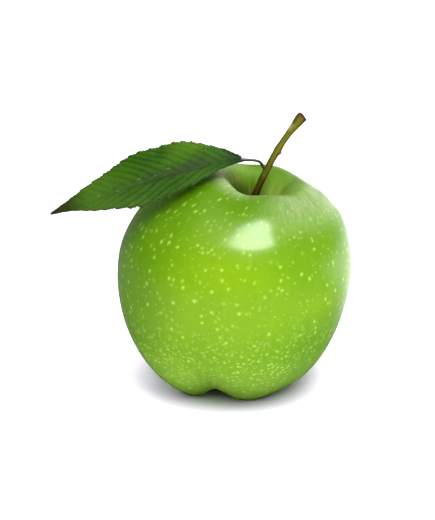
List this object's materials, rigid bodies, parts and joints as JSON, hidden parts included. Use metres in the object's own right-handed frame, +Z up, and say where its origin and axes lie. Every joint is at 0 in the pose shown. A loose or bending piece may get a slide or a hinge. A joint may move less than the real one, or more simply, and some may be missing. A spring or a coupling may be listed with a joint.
{
  "type": "green apple",
  "caption": "Green apple with a lobed foot and a lopsided stem dimple, standing on small flat spots, with its leaning stem and a serrated leaf on a short stalk.",
  "frame": {"origin": "on the surface the apple stands on, under the middle of the box round the fruit, stem and leaf", "axes": "+Z up, the stem leans towards +X and the leaf points to -X, and -Y is the front that shows the stem dimple's low lip"},
  "size_m": [0.0996, 0.0782, 0.0954],
  "materials": {
    "skin": "waxy yellow-green apple skin with pale dots, satin gloss",
    "bark": "matt olive-brown woody stem, browner at its foot and its cut end",
    "leaf_stalk": "dark green, slightly downy stalk",
    "leaf": "satin green leaf with sunken veins, paler underneath",
    "dried_flower": "dry, downy grey-brown sepals and stamens"
  },
  "bodies": {
    "root": {"fruit": "skin", "stem": "bark", "leaf_stalk": "leaf_stalk", "leaf_blade": "leaf", "sepal_1": "dried_flower", "sepal_2": "dried_flower", "sepal_3": "dried_flower", "sepal_4": "dried_flower", "sepal_5": "dried_flower", "stamen_tuft": "dried_flower"}
  },
  "joints": []
}
